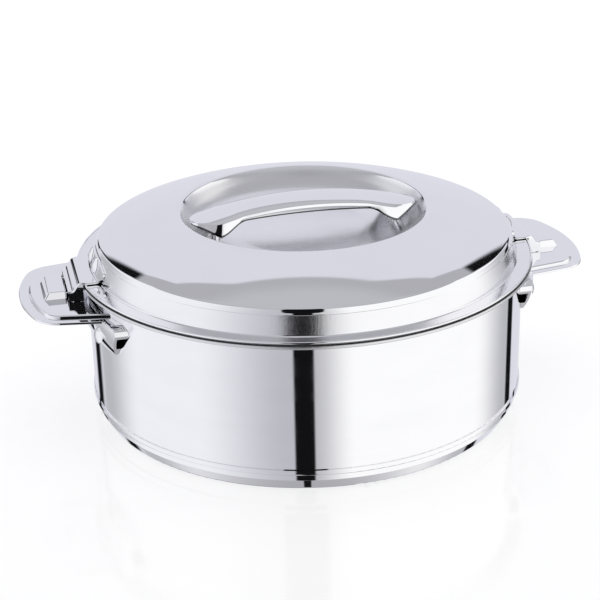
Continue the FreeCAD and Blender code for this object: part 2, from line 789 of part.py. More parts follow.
def clip_strap():
    """Strap over the rim and down to the ear, with sides turned down at its end."""
    over_rim = clip_strap_height()
    under_end = stop_top + clip_above_stop - clip_sheet
    bend = rim_edge + clip_drop_start
    across = V(0, 2 * clip_strap_half_width, 0)
    path = [
        (bead_radius_place - clip_root_bend, over_rim, 0),
        (bend, over_rim, clip_bend),
        (bend + clip_drop_run, under_end, clip_bend),
        (clip_end, under_end, 0),
    ]
    strap = face_between(path, clip_sheet).extrude(across)
    strap.translate(-across / 2)
    strap = strap.common(clip_plan(0))

    def upper_side_edge(point, edge):
        if abs(point.y) < clip_crown_half_width or abs(edge.tangentAt(edge.FirstParameter).y) > near_half:
            return False
        inward = -hole_gap if point.y > 0 else hole_gap
        return strap.isInside(point + V(0, inward, -clip_sheet / 2), tiny, False)

    strap = strap.makeFillet(clip_edge_radius, edges_where(strap, upper_side_edge))
    middle = moved_path(path, clip_sheet - clip_edge_radius)
    foot = panel_height + clip_foot_gap
    outline = [(middle[0][0], foot, 0), (clip_end, foot, 0)] + middle[::-1]
    sides = closed_face(outline).extrude(across)
    sides.translate(-across / 2)
    sides = sides.common(clip_plan(0)).cut(clip_plan(clip_sheet))
    return strap.fuse(sides.cut(disc(rim_edge + clip_side_gap, 0, over_rim)))


def lid_clip():
    clip = clip_plate().fuse(clip_strap()).removeSplitter()
    place = (math.degrees(skirt_lean), skirt_seat(clip_rivet_height), clip_rivet_height)
    face = 2 * seam_gap + clip_sheet
    spots = [
        seated(rod(clip_head_radius + hole_gap, face, face + head_height), *place, angle)
        for angle in clip_rivet_angles()
    ]
    return clip.cut(clip_rivet_bars(hole_gap) + spots)


def clip_rivet_angles():
    """Angles of the clip's rivets from the ear's middle line, in degrees."""
    angle = math.degrees(math.asin(clip_rivet_across / skirt_seat(clip_rivet_height)))
    return (-angle, angle)


def clip_rivet_bars(gap):
    """Bars square to the skirt, through clip, skin and backing."""
    lean = math.degrees(skirt_lean)
    seat = skirt_seat(clip_rivet_height)
    return [
        seated(rod(shank_radius + gap, -tail_radius, tail_radius), lean, seat, clip_rivet_height, angle)
        for angle in clip_rivet_angles()
    ]


def clip_rivets():
    """Two rivets square to the skirt."""
    outside = 2 * seam_gap + clip_sheet
    inside = shell_sheet + 3 * seam_gap + backing_sheet
    rivets = []
    for angle in clip_rivet_angles():
        top = head(clip_head_radius)
        top.translate(V(outside, 0, 0))
        tail = rod(tail_radius, -inside - tail_height, -inside)
        rivet = rod(shank_radius, -inside, outside).fuse([top, tail]).removeSplitter()
        seat = skirt_seat(clip_rivet_height)
        rivets.append(seated(rivet, math.degrees(skirt_lean), seat, clip_rivet_height, angle))
    return rivets


def clip_backing_path(extra):
    """Outer face of the strip inside the skirt, lengthened at both ends by extra."""
    offset = (shell_sheet + seam_gap) / math.cos(skirt_lean)
    low = clip_rivet_height - clip_backing_height / 2 - extra
    high = clip_rivet_height + clip_backing_height / 2 + extra
    return [(skirt_seat(low) - offset, low, 0), (skirt_seat(high) - offset, high, 0)]


def clip_backing():
    """Conical strip inside the skirt behind both rivets."""
    strip = sector(face_between(clip_backing_path(0), backing_sheet), clip_backing_half_angle)
    return strip.cut(clip_rivet_bars(hole_gap))


def clip_foam_room():
    """What one clip's fixings take out of the lid's foam."""
    seat = skirt_seat(clip_rivet_height)
    end_room = math.degrees(foam_gap / seat)
    face = face_between(clip_backing_path(foam_gap), backing_sheet + foam_gap)
    room = [sector(face, clip_backing_half_angle + end_room)]
    depth = shell_sheet + backing_sheet + 3 * seam_gap + tail_height + foam_gap
    tail_room = rod(tail_radius + foam_gap, -depth, -shell_sheet)
    for angle in clip_rivet_angles():
        room.append(seated(tail_room.copy(), math.degrees(skirt_lean), seat, clip_rivet_height, angle))
    return room


# ---------------------------------------------------------------- the whole part

def both(shapes):
    """The shapes and their copies on the left."""
    return shapes + [mirrored(shape) for shape in shapes]


def build():
    """Every piece by its node's name."""
    skin_holes = both(clip_rivet_bars(hole_gap)) + stud_bars(hole_gap)
    nodes = {
        "outer_shell": outer_shell().cut(both(ear_rivet_holes())),
        "inner_bowl": inner_bowl(),
        "body_foam": body_foam(both(ear_foam_room())),
        "base_cover": base_cover(),
        "base_fill_plug": base_fill_plug(),
        "lid_dome": lid_dome(skin_holes),
        "lid_liner": lid_liner(),
        "lid_foam": lid_foam(both(clip_foam_room()) + stud_foam_room()),
        "lid_grip": lid_grip(),
        "grip_studs": Part.makeCompound(grip_studs()),
    }
    sided = {
        "ear": ear(),
        "ear_rivets": Part.makeCompound(ear_rivets()),
        "ear_backing": ear_backing(),
        "lid_clip": lid_clip(),
        "clip_rivets": Part.makeCompound(clip_rivets()),
        "clip_backing": clip_backing(),
    }
    for name, shape in sided.items():
        nodes["right_" + name] = shape
        nodes["left_" + name] = mirrored(shape)
    return nodes


def main():
    os.makedirs("parts", exist_ok=True)
    for name, shape in build().items():
        shape.exportStep(os.path.join("parts", name + ".step"))
        print(name, "solids", len(shape.Solids), "valid", shape.isValid(), "volume", round(shape.Volume, 1))


main()
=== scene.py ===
import math

import bmesh
import bpy
from bpy.props import FloatProperty, FloatVectorProperty, PointerProperty
from mathutils import Matrix, Vector
from mathutils.geometry import interpolate_bezier


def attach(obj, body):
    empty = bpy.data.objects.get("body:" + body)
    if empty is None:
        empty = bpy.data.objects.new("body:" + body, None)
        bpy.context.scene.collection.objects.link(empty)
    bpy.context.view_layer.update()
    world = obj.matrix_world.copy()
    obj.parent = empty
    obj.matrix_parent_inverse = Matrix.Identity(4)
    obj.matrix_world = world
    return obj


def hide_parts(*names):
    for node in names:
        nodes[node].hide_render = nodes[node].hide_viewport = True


bl_info = {
    "name": "Insulated serving casserole",
    "version": (1, 0, 0),
    "blender": (4, 5, 0),
    "location": "3D View > Sidebar > Casserole",
    "description": "Dresses a steel casserole with a lift-off lid, in a plain pale studio",
    "category": "Object",
}

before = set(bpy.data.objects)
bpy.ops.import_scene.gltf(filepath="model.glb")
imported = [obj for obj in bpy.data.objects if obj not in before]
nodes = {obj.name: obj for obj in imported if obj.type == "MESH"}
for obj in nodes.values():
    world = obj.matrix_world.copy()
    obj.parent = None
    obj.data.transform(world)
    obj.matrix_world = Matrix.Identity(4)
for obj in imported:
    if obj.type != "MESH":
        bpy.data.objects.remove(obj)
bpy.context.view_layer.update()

MM = 0.001
MICRON = 1e-6

# Where the finish changes along a piece, in metres
SKIRT_BOTTOM = 0.0862          # the lid's upright skirt, where its skin is brushed
SKIRT_TOP = 0.0956
SKIRT_SOFT = 0.0004
WELL_EDGE = 0.068              # radius of the well, which is duller than the dome
WELL_SOFT = 0.003
WELL_WALL = (0.0995, 0.1045)   # heights between which the well's wall begins
RIM_SHADE_LINE = (0.1244, 0.0008, 0.0003)  # painted shade in the seam under the lid's bead: radius, half width and soft edge
RIM_SHADE_HEIGHT = (0.0836, 0.0840)  # heights above which the line shows on the rolled rim

# Outer face of the lid's skin, in millimetres: well and skirt as corners (radius, height, bend),
# and between them the dome's curve, as its ends and the handles that give its slopes there
LID_WELL = (
    (0, 98.4, 0),
    (44, 98.4, 50),
    (60.5, 103.2, 16),
    (68.5, 111.9, 3.4),
    (72, 111.15, 0),
)
LID_DOME = ((72, 111.15), (91, 107.07), (102.4, 103.2), (111.4, 99.55))
LID_SKIRT = (
    (111.4, 99.55, 0),
    (112.9, 98.94, 2.2),
    (113.95, 96.9, 1.6),
    (113.95, 95.85, 0.5),
    (114.25, 95.6, 0.5),
    (117, 85.85, 0.8),
    (124.6, 85.85, 0),
)
DOME_POINTS = 32
LID_BEAD = (124.6, 85.75)      # middle of the flange's rolled edge: radius and height

# How finely sections are made: lengths in millimetres, and steps of an arc or a full turn
BEND_STEPS = 8
BEAD_STEPS = 16
TURN_STEPS = 216
SUPPORT = 0.3                  # short run beside a bend, which keeps the shading flat
SUPPORTED = 1.2                # shortest run that gets one at each end
LONGEST = 4                    # runs longer than this are cut up
MERGE = 1e-6                   # points nearer than this become one, in metres

# The grip, in millimetres: an arched strap, bent down along both sides, with a round foot
# at each end. Its main sizes are settings.
GRIP_ARCH = 0.00225            # the crown falls by this times the distance from its middle squared
GRIP_ROUND = 200               # bend across the crown
GRIP_LOW = (111.8, 0.0012)     # lower edge in the middle, and its fall as above
GRIP_FLARE = (34, 49)          # where the sides begin to spread, and where the round end begins
GRIP_SPREAD = (0.7, 5.0)       # what the flare adds to the half width, at the bend and at the edge
GRIP_DROP = 5.0                # what it takes off the lower edge
GRIP_STEP = 2                  # distance between sections
GRIP_TOE = (35, 34.0)          # the foot's corner in degrees round its end, and that end's radius
GRIP_TOE_STEP = 5              # degrees between the sections of the round end
GRIP_TOE_LAST = 80
GRIP_CLOSE = 0.16              # share of the section's depth that is left where the end closes

# Patterns of the finishes: repeats per metre, along x, y and z where there are three
RIPPLE = 35.0
WIPES = (30.0, 30.0, 90.0)
HAIRLINES = (400.0, 60.0, 400.0)
STREAKS = 360.0                # repeats per radian round the skirt
STREAK_RUN = 24.0
RINGS = 900.0
PATCHES = 18.0
ROLLED_GRAIN = (80.0, 80.0, 1500.0)
FOAM_CELLS = 900.0
FOAM_CLOUDS = 40.0
PLUG_GRAIN = 2500.0
PLUG_WEAR = 150.0

# Depths of the patterns, in metres
HAIRLINE_DEPTH = 0.1 * MICRON
RING_DEPTH = 4 * MICRON
ROLLED_DEPTH = 6 * MICRON
PLUG_DEPTH = 20 * MICRON
FOAM_DEPTH = 400 * MICRON

# Parts of a pattern's range over which a mark comes in
HAZE_MARKS = (0.45, 0.75)
WIPE_MARKS = (0.3, 0.8)
CLOUD_MARKS = (0.3, 0.7)
CELL_WALLS = (0.5, 0.1)
WEAR_MARKS = (0.4, 0.8)
# the grip's hem, where its painted dark shade comes in
HEM_SHADE_MARKS = (0.0, 0.5)

# Brightness of a mark beside its finish
WIPED = 0.96
# painted shade on the wall of the lid's well
WELL_WALL_PAINTED_SHADE = 0.7
# painted shade along the grip's lower edge, standing in for the dark that the strap mirrors there
HEM_PAINTED_SHADE = 0.05
# painted shade in the seam between the lid's bead and the rim
RIM_PAINTED_SHADE = 0.06
SATIN_PATCH = 0.9
ROLLED_DARK = 0.8
CLOUD_DARK = 0.82
CELL_DARK = 0.6
PLUG_WORN = 0.85

# Roughness: of the finishes that have no setting for it, from one end of the pattern to the
# other, and what the lid's skirt and the wall of its well add to theirs
RING_ROUGH = (0.20, 0.36)
ROLLED_ROUGH = (0.32, 0.52)
FOAM_ROUGH = (0.75, 0.95)
PLUG_ROUGH = (0.42, 0.57)
FLOOR_ROUGH = (0.07, 0.11)
SKIRT_ROUGH = 0.10
WELL_WALL_ROUGH = 0.08

# The surroundings in degrees: turned from the front, with left negative, or risen from level.
# A pair is where a change begins and where it ends.
LEFT_DUSK = (-8, -62)
RIGHT_DUSK = (2, 26)
WALL_SEAM = (-3, 0)
FAR_WALLS = (98, 130)
FAR_WALLS_TOP = (28, 18)
BACK_WALL = (135, 143)
CEILING_EDGES = (55, 62)
CEILING_FOOT = 46.5            # where the ceiling begins, in front and at the sides
CEILING_LIFT = 7.5             # how much higher it begins behind
CEILING_LIFTS = (147, 164)
CEILING_DIP = 8.5              # how much lower it begins at the back corners
CEILING_DIPS = (145.5, 4.8, 1.0)   # middle, half width and soft edge
CEILING_BLUR = 0.7
BELOW = (-50, -80)
SLOT_COLOUR = (0.006, 0.006, 0.007)
WHITE = (1.0, 1.0, 1.0)

FRONT_SLOT_TURN = -1.5
FRONT_SLOT_HALF = (6.0, 4.5)
FRONT_SLOT_FLARES = (((-6, 6), 4.0), ((6, 45), 3.5))   # over which rise, and by how much
FRONT_SLOT_TOP = (60, 56)

SIDE_SLOT_TURN = (146.5, 136.7)    # this and the next two: left and right slot
SIDE_SLOT_HALF = (5.0, 3.8)
SIDE_SLOT_SHARP = (0.25, 0.6)      # sharpness of the edges
SIDE_SLOT_UPPER = (-4, 22)         # above this both are as follows
UPPER_TURN = 155.6
UPPER_LEAN = 0.2                   # taken off the turn for each degree of rise
UPPER_HALF = 2.2
UPPER_SHARP = 0.9
SIDE_SLOT_SOFT = (0.6, -0.6)
SIDE_SLOT_TOP = (40, 38)
LEFT_GAP = (-6.0, 9.0, 6.0)        # rise, half height and soft edge of the left slot's gap

# Stage, in metres
FLOOR_SIZE = 60
FLOOR_DROP = 0.0002            # below the casserole's foot, so that the two faces don't meet
FLOOR_LIGHT = (0.26, 0.26, 0.26)
FLOOR_DARK = (0.24, 0.24, 0.24)
FLOOR_GRAIN = 60.0
LAMP_SIZE = 1.4
LAMP_HEIGHT = 1.3
SENSOR = 36.0                  # millimetres


# ---------------------------------------------------------------- settings

def size(name, description, millimetres):
    """A length, kept in metres."""
    return FloatProperty(name=name, description=description, default=millimetres * MM,
                         min=0, precision=5, subtype="DISTANCE", unit="LENGTH")


def colour(name, description, default):
    return FloatVectorProperty(name=name, description=description, default=default,
                               subtype="COLOR", size=3, min=0, max=1)


def share(name, description, default, high=1.0):
    return FloatProperty(name=name, description=description, default=default, min=0, max=high)


def angle(name, description, degrees):
    return FloatProperty(name=name, description=description, default=math.radians(degrees),
                         subtype="ANGLE", unit="ROTATION")


class CasseroleSizes(bpy.types.PropertyGroup):
    """Main sizes of the lid's skin and grip."""
    lid_sheet: size("Lid sheet", "Thickness of the lid's skin", 0.7)
    lid_bead: size("Lid bead", "Radius of the rolled edge of the lid's flange", 0.62)
    grip_sheet: size("Grip sheet", "Thickness of the grip", 1.5)
    grip_crown: size("Grip crown", "Height of the middle of the grip", 118.45)
    grip_rise: size("Grip rise", "How far the grip's crown stands above its bends", 2.5)
    grip_half: size("Grip half width", "Half the width of the grip's arch", 12.5)
    grip_bend: size("Grip bend", "Bend along both sides of the grip", 3.0)
    # width of the band of painted dark shade along the bottom of the grip; it also places the
    # section's extra corner
    grip_shaded_hem: size("Grip hem", "Worn dark edge along the bottom of the grip", 1.1)


class CasseroleFinish(bpy.types.PropertyGroup):
    """Colours and finishes of the casserole."""
    steel: colour("Polished steel", "Colour of the mirror-polished skins", (0.90, 0.90, 0.92))
    satin: colour("Satin steel", "Colour of the bowl and the lid's underside", (0.76, 0.76, 0.78))
    mill: colour("Mill steel", "Colour of the strips inside the walls", (0.55, 0.55, 0.57))
    foam: colour("Foam", "Colour of the insulation", (0.83, 0.72, 0.42))
    plug: colour("Plug", "Colour of the base plug", (0.72, 0.72, 0.71))
    polish: share("Polish roughness", "Roughness of the polished steel", 0.035)
    haze: share("Haze", "Extra roughness of faint wiping marks", 0.03)
    ripple: share("Ripple", "Height of the slow waves left by pressing, in micrometres",
                  2.0, 50.0)
    well: share("Well roughness", "Extra roughness of the well", 0.18)
    streak: share("Skirt streaks", "Height of the skirt's upright streaks, in micrometres",
                  20.0, 50.0)


class CasseroleStudio(bpy.types.PropertyGroup):
    """Light, floor and the white surroundings that the steel mirrors."""
    left_wall: colour("Left wall", "White surroundings on the left", (0.88, 0.88, 0.92))
    left_dusk: colour("Left dusk", "The same beside the camera", (0.50, 0.50, 0.54))
    right_wall: colour("Right wall", "White surroundings on the right", (1.0, 1.0, 1.0))
    right_dusk: colour("Right dusk", "The same beside the camera", (0.50, 0.50, 0.52))
    far_wall: colour("Far walls", "Where the side walls end, towards the back", (0.48, 0.48, 0.51))
    back_wall: colour("Back wall", "Surroundings behind the casserole", (0.70, 0.70, 0.765))
    ceiling: colour("Ceiling", "Surroundings overhead", (0.50, 0.50, 0.53))
    ceiling_front: colour("Ceiling edge", "The ceiling near its edges", (0.43, 0.43, 0.455))
    under: colour("Below", "Surroundings straight below", (0.40, 0.40, 0.42))
    strength: share("Strength", "Brightness of the surroundings", 1.08, 2.0)
    lamp: FloatProperty(name="Lamp", description="Power of the soft lamp overhead",
                        default=6.0, min=0, unit="POWER")
    floor_glow: share("Floor glow", "How bright the pale floor is by itself", 0.72, 2.0)


class CasseroleCamera(bpy.types.PropertyGroup):
    """Place and lens of the camera."""
    place: FloatVectorProperty(name="Place", description="Where the camera stands",
                               default=(-0.1817, -0.7903, 0.40335),
                               subtype="TRANSLATION", unit="LENGTH")
    aim: FloatVectorProperty(name="Aim", description="Direction in which the camera looks",
                             default=(0.2028, 0.8961, -0.3947), subtype="DIRECTION")
    roll: angle("Roll", "Turn about the line of sight", -1.22)
    lens: FloatProperty(name="Lens", description="Focal length on a 36 mm sensor",
                        default=94.26, min=1, unit="CAMERA")


# ---------------------------------------------------------------- shader tools

class Value:
    """A node's output; arithmetic on it adds the nodes that work it out."""

    def __init__(self, tree, socket):
        self.tree = tree
        self.socket = socket

    def math(self, operation, *others):
        return self.tree.node("ShaderNodeMath", {"operation": operation},
                              dict(enumerate((self,) + others)))

    def __add__(self, other):
        return self.math("ADD", other)

    __radd__ = __add__

    def __sub__(self, other):
        return self.math("SUBTRACT", other)

    def __rsub__(self, other):
        return self.math("MULTIPLY", -1.0).math("ADD", other)

    def __mul__(self, other):
        return self.math("MULTIPLY", other)

    __rmul__ = __mul__

    def between(self, low, high):
        """Runs from low to high as the value runs from 0 to 1."""
        return self * (high - low) + low

    def band(self, centre, half_width, soft):
        """1 near the centre, falling to 0 over the soft edge."""
        away = (self - centre).math("ABSOLUTE")
        return away.step(half_width + soft / 2, half_width - soft / 2)

    def step(self, start, end):
        """0 at start and 1 at end, smooth between them."""
        if start > end:
            return 1.0 - self.step(end, start)
        return self.tree.node("ShaderNodeMapRange", {"interpolation_type": "SMOOTHSTEP"},
                              {"Value": self, "From Min": start, "From Max": end})


class Tree:
    """Makes the nodes of one material or world."""

    def __init__(self, owner):
        owner.use_nodes = True
        self.nodes = owner.node_tree.nodes
        self.links = owner.node_tree.links
        self.nodes.clear()

    def node(self, kind, settings=None, inputs=None, output=0):
        made = self.nodes.new(kind)
        for name, value in (settings or {}).items():
            setattr(made, name, value)
        for key, value in (inputs or {}).items():
            if isinstance(value, Value):
                self.links.new(value.socket, made.inputs[key])
            else:
                made.inputs[key].default_value = value
        return Value(self, made.outputs[output]) if made.outputs else None

    def mix(self, factor, first, second):
        """A colour between two colours, by the mix node's own sockets for colours."""
        first, second = [shade if isinstance(shade, Value) else (*shade, 1.0)
                         for shade in (first, second)]
        return self.node("ShaderNodeMix", {"data_type": "RGBA"},
                         {"Factor": factor, 6: first, 7: second}, 2)

    def place(self):
        """Object coordinates, as a vector and as x, y, z."""
        where = self.node("ShaderNodeTexCoord", output="Object")
        return where, *self.split(where)

    def split(self, vector):
        x = self.node("ShaderNodeSeparateXYZ", inputs={0: vector})
        return [Value(self, socket) for socket in x.socket.node.outputs]

    def join(self, x, y, z):
        return self.node("ShaderNodeCombineXYZ", inputs={0: x, 1: y, 2: z})

    def stretched(self, parts, repeats):
        """The vector x, y, z with its own repeats along each."""
        return self.join(*[part * repeat for part, repeat in zip(parts, repeats)])

    def noise(self, where, scale=1.0, detail=2.0, rough=0.5):
        return self.node("ShaderNodeTexNoise", None,
                         {"Vector": where, "Scale": scale, "Detail": detail, "Roughness": rough})

    def bump(self, height, distance, normal=None):
        inputs = {"Height": height, "Distance": distance, "Strength": 1.0}
        if normal is not None:
            inputs["Normal"] = normal
        return self.node("ShaderNodeBump", None, inputs)

    def surface(self, **inputs):
        """Principled shader on the material's output; underscores stand for spaces."""
        named = {key.replace("_", " "): value for key, value in inputs.items()}
        shader = self.node("ShaderNodeBsdfPrincipled", None, named)
        self.node("ShaderNodeOutputMaterial", None, {"Surface": shader})


def new_material(name):
    material = bpy.data.materials.new(name)
    return material, Tree(material)


def dress(material, *names):
    """Gives CAD nodes a material."""
    for name in names:
        slots = nodes[name].data.materials
        slots.clear()
        slots.append(material)


def both(name):
    """The left and the right node of a pair."""
    return "left_" + name, "right_" + name


def dimmed(shade, part):
    """The colour at a part of its brightness."""
    return [channel * part for channel in shade]


# ---------------------------------------------------------------- mesh tools

def bent_wire(mesh, corners):
    """Wire through corners (x, y, z, bend) in millimetres, each bent to its radius.

    It gives the wire's edges.
    """
    before = set(mesh.edges)
    points = [mesh.verts.new(Vector(corner[:3]) * MM) for corner in corners]
    for first, second in zip(points, points[1:]):
        mesh.edges.new((first, second))
    for point, corner in zip(points, corners):
        bend = corner[3] * MM
        if not bend:
            continue
        runs = [edge.other_vert(point).co - point.co for edge in point.link_edges]
        turn = math.pi - runs[0].angle(runs[1])
        room = 0.95 * min(run.length for run in runs)     # so that the bend fits its runs
        bmesh.ops.bevel(mesh, geom=[point], offset=min(bend * math.tan(turn / 2), room),
                        offset_type="OFFSET", segments=BEND_STEPS, profile=0.5,
                        affect="VERTICES", material=-1)
    return [edge for edge in mesh.edges if edge not in before]


def bent_line(mesh, corners):
    """Wire of a half section (radius, height, bend), with short supports beside its bends."""
    bent_wire(mesh, [(radius, 0, height, bend) for radius, height, bend in corners])
    for edge in [edge for edge in mesh.edges if edge.calc_length() > SUPPORTED * MM]:
        other, middle = bmesh.utils.edge_split(edge, edge.verts[0],
                                               SUPPORT * MM / edge.calc_length())
        longer = max((other, edge), key=lambda part: part.calc_length())
        bmesh.utils.edge_split(longer, longer.other_vert(middle),
                               SUPPORT * MM / longer.calc_length())
    for edge in [edge for edge in mesh.edges if edge.calc_length() > LONGEST * MM]:
        bmesh.ops.subdivide_edges(mesh, edges=[edge],
                                  cuts=int(edge.calc_length() / (LONGEST * MM)))


def spun(mesh):
    """Turns the mesh's wires once about the vertical axis."""
    bmesh.ops.spin(mesh, geom=mesh.verts[:] + mesh.edges[:], cent=(0, 0, 0), axis=(0, 0, 1),
                   angle=math.tau, steps=TURN_STEPS, use_merge=True)
    bmesh.ops.remove_doubles(mesh, verts=mesh.verts[:], dist=MERGE)
    bmesh.ops.recalc_face_normals(mesh, faces=mesh.faces[:])


def upwards(mesh, measure):
    """Turns all faces over if the one whose centre has the least measure looks down."""
    if min(mesh.faces, key=lambda face: measure(face.calc_center_median())).normal.z < 0:
        bmesh.ops.reverse_faces(mesh, faces=mesh.faces[:])


def finished(mesh, name, material, slot, body, *replaced, sharp=35):
    """Makes an object of the mesh, on its body and in place of the nodes that it replaces."""
    data = bpy.data.meshes.new(name)
    mesh.to_mesh(data)
    mesh.free()
    data.shade_smooth()
    data.set_sharp_from_angle(angle=math.radians(sharp))
    data.materials.append(material)
    piece = bpy.data.objects.new(name, data)
    bpy.context.scene.collection.objects.link(piece)
    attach(piece, body)
    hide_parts(*replaced)


# ---------------------------------------------------------------- finishes

def polished(name, finish, streaked=False, painted_hem_shade=False):
    """Mirror-polished steel with slow ripples, faint wiping haze and hairlines.

    Streaked is for the lid, with its brushed skirt, its rougher well and painted shade on the
    well's wall; the other flag paints a dark shade along the grip's lower edge.
    """
    material, tree = new_material(name)
    where, x, y, z = tree.place()
    ripple = tree.noise(where, RIPPLE, detail=1.0)
    wiped = tree.noise(tree.stretched((x, y, z), WIPES), detail=3.0)
    hair = tree.noise(tree.stretched((x, y, z), HAIRLINES))
    height = tree.bump(ripple, finish.ripple * MICRON)
    height = tree.bump(hair, HAIRLINE_DEPTH, height)
    rough = wiped.step(*HAZE_MARKS) * finish.haze + finish.polish
    tint = tree.mix(wiped.step(*WIPE_MARKS) * 0.5, finish.steel, dimmed(finish.steel, WIPED))
    if streaked:
        upright = z.step(SKIRT_BOTTOM, SKIRT_BOTTOM + SKIRT_SOFT)
        upright = upright * z.step(SKIRT_TOP + SKIRT_SOFT, SKIRT_TOP)
        turn = y.math("ARCTAN2", x)
        streaks = tree.noise(tree.join(turn * STREAKS, z * STREAK_RUN, 0.0), detail=4.0, rough=0.7)
        height = tree.bump(streaks * upright, finish.streak * MICRON, height)
        radius = (x * x + y * y).math("SQRT")
        well = radius.step(WELL_EDGE, WELL_EDGE - WELL_SOFT)
        wall = well * z.step(*WELL_WALL)
        rough = rough + upright * SKIRT_ROUGH + well * finish.well + wall * WELL_WALL_ROUGH
        # the well's wall is rougher, and darkened by painted shade for its recess
        tint = tree.mix(wall * 0.6, tint, dimmed(finish.steel, WELL_WALL_PAINTED_SHADE))
    if painted_hem_shade:
        # painted shade along the grip's lower edge, where the strap mirrors the dark beneath it
        shaded_hem = tree.node("ShaderNodeAttribute", {"attribute_name": "shaded_hem"}, output="Fac")
        tint = tree.mix(shaded_hem.step(*HEM_SHADE_MARKS) * 0.95, tint, dimmed(finish.steel, HEM_PAINTED_SHADE))
    tree.surface(Base_Color=tint, Metallic=1.0, Roughness=rough, Normal=height)
    return material


def satin(name, finish):
    """Steel turned on a lathe: fine rings round the axis, and a line of painted shade on the rim,
    in the seam under the lid's bead.
    """
    material, tree = new_material(name)
    where, x, y, z = tree.place()
    radius = (x * x + y * y).math("SQRT")
    rings = tree.noise(tree.join(radius * RINGS, z * RINGS, 0.0), detail=3.0, rough=0.6)
    patches = tree.noise(where, PATCHES, detail=3.0)
    tint = tree.mix(patches * 0.4, finish.satin, dimmed(finish.satin, SATIN_PATCH))
    # painted shade of the gap under the lid's bead, on the bowl's rim and the lid's underside
    wear_and_seam_shade = radius.band(*RIM_SHADE_LINE) * z.step(*RIM_SHADE_HEIGHT)
    tint = tree.mix(wear_and_seam_shade * 0.95, tint, dimmed(finish.satin, RIM_PAINTED_SHADE))
    tree.surface(Base_Color=tint, Metallic=1.0, Roughness=rings.between(*RING_ROUGH),
                 Normal=tree.bump(rings, RING_DEPTH))
    return material


def mill(name, finish):
    """Plain rolled steel of the hidden strips."""
    material, tree = new_material(name)
    where, x, y, z = tree.place()
    grain = tree.noise(tree.stretched((x, y, z), ROLLED_GRAIN), detail=3.0, rough=0.6)
    tint = tree.mix(grain, finish.mill, dimmed(finish.mill, ROLLED_DARK))
    tree.surface(Base_Color=tint, Metallic=1.0, Roughness=grain.between(*ROLLED_ROUGH),
                 Normal=tree.bump(grain, ROLLED_DEPTH))
    return material


def foam(name, finish):
    """Rigid foam: small closed cells under an uneven skin."""
    material, tree = new_material(name)
    where = tree.place()[0]
    cells = tree.node("ShaderNodeTexVoronoi", None, {"Vector": where, "Scale": FOAM_CELLS})
    clouds = tree.noise(where, FOAM_CLOUDS, detail=4.0)
    tint = tree.mix(clouds.step(*CLOUD_MARKS), finish.foam, dimmed(finish.foam, CLOUD_DARK))
    tint = tree.mix(cells.step(*CELL_WALLS) * 0.5, tint, dimmed(finish.foam, CELL_DARK))
    tree.surface(Base_Color=tint, Roughness=clouds.between(*FOAM_ROUGH),
                 Normal=tree.bump(cells + clouds * 2.0, FOAM_DEPTH))
    return material


def plug_plastic(name, finish):
    """Moulded plastic with a fine spark-eroded grain."""
    material, tree = new_material(name)
    where = tree.place()[0]
    grain = tree.noise(where, PLUG_GRAIN, detail=3.0, rough=0.6)
    # on the plug these marks are wear only
    wear_and_seam_shade = tree.noise(where, PLUG_WEAR, detail=3.0)
    tint = tree.mix(wear_and_seam_shade.step(*WEAR_MARKS) * 0.5, finish.plug, dimmed(finish.plug, PLUG_WORN))
    tree.surface(Base_Color=tint, Roughness=grain.between(*PLUG_ROUGH),
                 Normal=tree.bump(grain, PLUG_DEPTH))
    return material


# ---------------------------------------------------------------- pieces

class CASSEROLE_OT_body(bpy.types.Operator):
    """Dress the outer shell and the base in polished steel"""
    bl_idname = "casserole.body"
    bl_label = "Outer shell and base"

    def execute(self, context):
        dress(polished("body_polish", context.scene.casserole_finish),
              "outer_shell", "base_cover")
        return {"FINISHED"}


class CASSEROLE_OT_bowl(bpy.types.Operator):
    """Dress the bowl and the lid's underside in satin steel"""
    bl_idname = "casserole.bowl"
    bl_label = "Bowl and lid underside"

    def execute(self, context):
        dress(satin("bowl_satin", context.scene.casserole_finish), "inner_bowl", "lid_liner")
        return {"FINISHED"}


class CASSEROLE_OT_ears(bpy.types.Operator):
    """Dress the two ears"""
    bl_idname = "casserole.ears"
    bl_label = "Ears"

    def execute(self, context):
        dress(polished("ear_polish", context.scene.casserole_finish), *both("ear"))
        return {"FINISHED"}


class CASSEROLE_OT_lid(bpy.types.Operator):
    """Build the lid's skin, with its brushed skirt and rolled edge"""
    bl_idname = "casserole.lid"
    bl_label = "Lid skin"

    def execute(self, context):
        sizes = context.scene.casserole_sizes
        mesh = bmesh.new()
        bent_line(mesh, LID_WELL)
        bent_line(mesh, LID_SKIRT)
        ends_and_handles = [Vector((radius, 0, height)) * MM for radius, height in LID_DOME]
        dome = [mesh.verts.new(point)
                for point in interpolate_bezier(*ends_and_handles, DOME_POINTS)]
        for first, second in zip(dome, dome[1:]):
            mesh.edges.new((first, second))
        bmesh.ops.remove_doubles(mesh, verts=mesh.verts[:], dist=MERGE)
        spun(mesh)
        upwards(mesh, lambda centre: centre.length)
        bmesh.ops.solidify(mesh, geom=mesh.faces[:], thickness=sizes.lid_sheet)
        bead = bmesh.new()
        radius, height = LID_BEAD
        bmesh.ops.create_circle(bead, segments=BEAD_STEPS, radius=sizes.lid_bead,
                                matrix=Matrix.Translation((radius * MM, 0, height * MM))
                                @ Matrix.Rotation(math.pi / 2, 4, "X"))
        spun(bead)
        rolled = bpy.data.meshes.new("bead")
        bead.to_mesh(rolled)
        bead.free()
        mesh.from_mesh(rolled)
        bpy.data.meshes.remove(rolled)
        material = polished("lid_polish", context.scene.casserole_finish, streaked=True)
        finished(mesh, "lid_skin", material, "polished_lid", "lid", "lid_dome")
        return {"FINISHED"}


